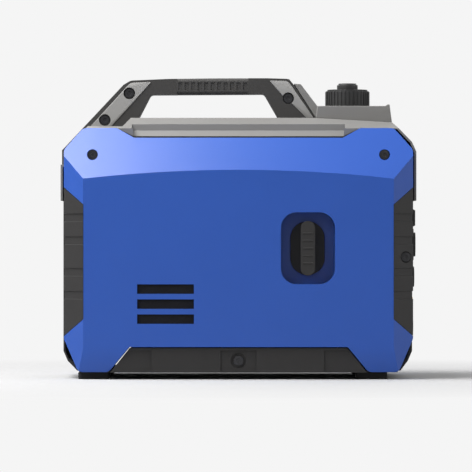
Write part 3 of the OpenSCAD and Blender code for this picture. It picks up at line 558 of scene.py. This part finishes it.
# %% A rope that pays out
rope_lo, rope_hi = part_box("starter_rope")
rope_x, rope_z = (rope_lo.x + rope_hi.x) / 2, (rope_lo.z + rope_hi.z) / 2
rope_r = (rope_hi.x - rope_lo.x) / 2
guide_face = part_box("rope_guide")[0].y
guide_y, knot_y = guide_face + 0.004, guide_face - 0.019
bpy.ops.object.select_all(action="DESELECT")
bpy.ops.mesh.primitive_circle_add(vertices=16, radius=rope_r, fill_type="NGON")
rope = alone(bpy.context.object)
rope.name = "braided_rope"
for corner in rope.data.vertices:
    corner.co = (rope_x + corner.co.x, rope_hi.y, rope_z + corner.co.y)
bpy.ops.object.mode_set(mode="EDIT")
bpy.ops.mesh.select_all(action="SELECT")
rings_inside, rings_free = 8, 60
stops = [rope_hi.y * (1 - i / rings_inside) + guide_y * i / rings_inside for i in range(1, rings_inside + 1)]
stops += [guide_y + (knot_y - guide_y) * i / rings_free for i in range(1, rings_free + 1)]
stops.append(rope_lo.y)
here = rope_hi.y
for stop in stops:
    bpy.ops.mesh.extrude_region_move(TRANSFORM_OT_translate={"value": (0, stop - here, 0)})
    here = stop
bpy.ops.mesh.select_all(action="SELECT")
bpy.ops.mesh.normals_make_consistent(inside=False)
bpy.ops.object.mode_set(mode="OBJECT")
bpy.ops.object.shade_smooth_by_angle(angle=math.radians(40))
rope.data.materials.append(rope_braid)
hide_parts("starter_rope")
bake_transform(rope)
print("rope radius", round(rope_r / MM, 1), "mm,", len(stops), "rings")

# %% [markdown]
# ## Small parts of the control panel
# The panel carries three indicator lamps, each a domed lens in a dark bezel. Each is a cylinder whose front
# face is inset and pushed out.

# %% Indicator lamps
def turned(name, place, radius, height, dome, material):
    """A disc on the panel, facing +X, whose front is drawn in and pushed out by dome."""
    bpy.ops.object.select_all(action="DESELECT")
    bpy.ops.mesh.primitive_cylinder_add(vertices=32, radius=radius * MM, depth=height * MM)
    made = alone(bpy.context.object)
    made.name = name
    made.data.transform(Matrix.Translation([v * MM for v in place])
                        @ Matrix.Rotation(math.radians(90), 4, "Y"))
    bpy.ops.object.mode_set(mode="EDIT")
    bpy.ops.mesh.select_mode(type="FACE")
    bpy.ops.mesh.select_all(action="DESELECT")
    mesh = bmesh.from_edit_mesh(made.data)
    for face in mesh.faces:
        face.select = face.normal.x > 0.9
    bmesh.update_edit_mesh(made.data)
    steps = 3
    for _ in range(steps):
        bpy.ops.mesh.inset(thickness=radius * MM * 0.24, depth=dome * MM / steps)
    bpy.ops.object.mode_set(mode="OBJECT")
    finish_edges(made, 0.25)
    made.data.materials.append(material)
    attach(made, "chassis")


def lamp_glass(name, swatch):
    """Tinted acrylic of an unlit lamp: glossy, faintly cloudy."""
    mat = grained(name, swatch, 0.16, 2.0, 0.03, 0.12)
    mat.node_tree.nodes["Principled BSDF"].inputs["Coat Weight"].default_value = 0.6
    return mat


panel_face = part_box("control_panel")[1].x / MM
lamp_z = 145
lamps = (("overload_lamp", 14, "#a02420"), ("oil_lamp", 30, "#b5781c"), ("output_lamp", 46, "#2d8a3c"))
for name, y, swatch in lamps:
    turned(name + "_bezel", (panel_face + 0.7, y, lamp_z), 5.2, 1.6, -0.3, black_nylon)
    glass = lamp_glass(name + "_acrylic", swatch)
    turned(name, (panel_face + 1.2, y, lamp_z), 2.9, 2.4, 0.9, glass)
print(len(lamps), "lamps made on the panel at X =", round(panel_face), "mm")

# %% [markdown]
# ## Studio floor
# A matte paper floor takes the object's shadow. To the camera it fades into the backdrop further out, so
# that no horizon cuts the picture, but it stays ordinary paper to the light.

# %% Floor
def studio_floor():
    """A wide matte floor that keeps the shadow near the object and fades to the backdrop further out."""
    bpy.ops.object.select_all(action="DESELECT")
    bpy.ops.mesh.primitive_plane_add(size=60, location=(0, 0, -0.2 * MM))
    floor = bpy.context.object
    floor.name = "studio_floor"
    mat, tree, place = blank_material("studio_paper")
    away = node(tree, "ShaderNodeVectorMath", {"operation": "LENGTH"})
    tree.links.new(place, away.inputs[0])
    fade = node(tree, "ShaderNodeMapRange", {"From Min": 0.3, "From Max": 0.9},
                {"Value": away.outputs["Value"]})
    seen = node(tree, "ShaderNodeLightPath")
    share = node(tree, "ShaderNodeMath", {"operation": "MULTIPLY"})
    tree.links.new(fade.outputs["Result"], share.inputs[0])
    tree.links.new(seen.outputs["Is Camera Ray"], share.inputs[1])
    paper = node(tree, "ShaderNodeBsdfPrincipled", {"Base Color": linear("#b0b0b0"), "Roughness": 0.9,
                                                    "Specular IOR Level": 0.1})
    glow = node(tree, "ShaderNodeEmission", {"Color": linear("#f5f5f5"), "Strength": 1.0})
    mix = node(tree, "ShaderNodeMixShader", None, {"Fac": share.outputs["Value"]})
    tree.links.new(paper.outputs["BSDF"], mix.inputs[1])
    tree.links.new(glow.outputs["Emission"], mix.inputs[2])
    node(tree, "ShaderNodeOutputMaterial", None, {"Surface": mix.outputs["Shader"]})
    floor.data.materials.append(mat)


studio_floor()
print("floor laid just under the feet")

# %% [markdown]
# ## Backdrop
# The world looks almost white to the camera and in reflections, but lights the object only gently, so the
# blue keeps its depth.

# %% World
def studio_world():
    """White for the camera and for reflections, a softer grey as a light."""
    world = bpy.data.worlds.new("studio_sky")
    bpy.context.scene.world = world
    world.use_nodes = True
    tree = world.node_tree
    tree.nodes.clear()
    seen = node(tree, "ShaderNodeLightPath")
    shown = seen.outputs["Is Camera Ray"]
    for ray in ("Is Glossy Ray", "Is Transmission Ray"):
        either = node(tree, "ShaderNodeMath", {"operation": "MAXIMUM"})
        tree.links.new(shown, either.inputs[0])
        tree.links.new(seen.outputs[ray], either.inputs[1])
        shown = either.outputs["Value"]
    sky = node(tree, "ShaderNodeBackground", {"Color": linear("#f5f5f5"), "Strength": 0.45})
    backdrop = node(tree, "ShaderNodeBackground", {"Color": linear("#f5f5f5"), "Strength": 1.0})
    mix = node(tree, "ShaderNodeMixShader", None, {"Fac": shown})
    tree.links.new(sky.outputs["Background"], mix.inputs[1])
    tree.links.new(backdrop.outputs["Background"], mix.inputs[2])
    node(tree, "ShaderNodeOutputWorld", None, {"Surface": mix.outputs["Shader"]})


studio_world()
print("world made")

# %% [markdown]
# ## Lights
# Four softboxes light the object. A broad one overhead, to the left, draws the bright slope of the cover. A
# fill stands far to the front left, where the flat face doesn't mirror it to the camera. A weaker one opens
# the shadows of the control end, and one behind lifts the edges of the far side.

# %% Softboxes
def softbox(name, place, aim, width, depth, watts):
    """An area light at a place, turned to a point."""
    data = bpy.data.lights.new(name, "AREA")
    data.shape = "RECTANGLE"
    data.size, data.size_y = width, depth
    data.energy = watts
    lamp = bpy.data.objects.new(name, data)
    bpy.context.scene.collection.objects.link(lamp)
    lamp.location = place
    lamp.rotation_euler = (Vector(aim) - Vector(place)).to_track_quat("-Z", "Y").to_euler()


middle = (0.0, 0.0, 0.2)
softbox("overhead_softbox", (-0.8, -0.35, 1.6), middle, 1.2, 1.0, 54)
softbox("front_fill", (-1.6, -2.2, 1.7), middle, 1.4, 1.2, 19)
softbox("side_fill", (2.4, -0.8, 1.1), middle, 1.4, 1.2, 14)
softbox("back_rim", (0.5, 2.2, 1.4), middle, 1.6, 1.0, 18)
print("four softboxes aim at", middle)

# %% [markdown]
# ## Camera
# The side is seen squarely through a long lens, so that its outline keeps its true proportions. The lens
# follows from the width of the view and the distance to the plane in which that width is measured.

# %% Camera
camera_data = bpy.data.cameras.new("studio_camera")
camera = bpy.data.objects.new("studio_camera", camera_data)
bpy.context.scene.collection.objects.link(camera)
view_width = 0.6608
view_centre = Vector((-0.0035, 0.0, 0.1994))
plane_y = -0.1
distance = 6.0
camera_data.sensor_width = 36
camera_data.lens = camera_data.sensor_width * distance / view_width
camera_data.clip_end = 100
camera.location = view_centre + Vector((0, plane_y - distance, 0))
camera.rotation_euler = (math.radians(90), 0, 0)
bpy.context.scene.camera = camera
bpy.context.scene.view_settings.view_transform = "Standard"
print("lens", round(camera_data.lens), "mm")
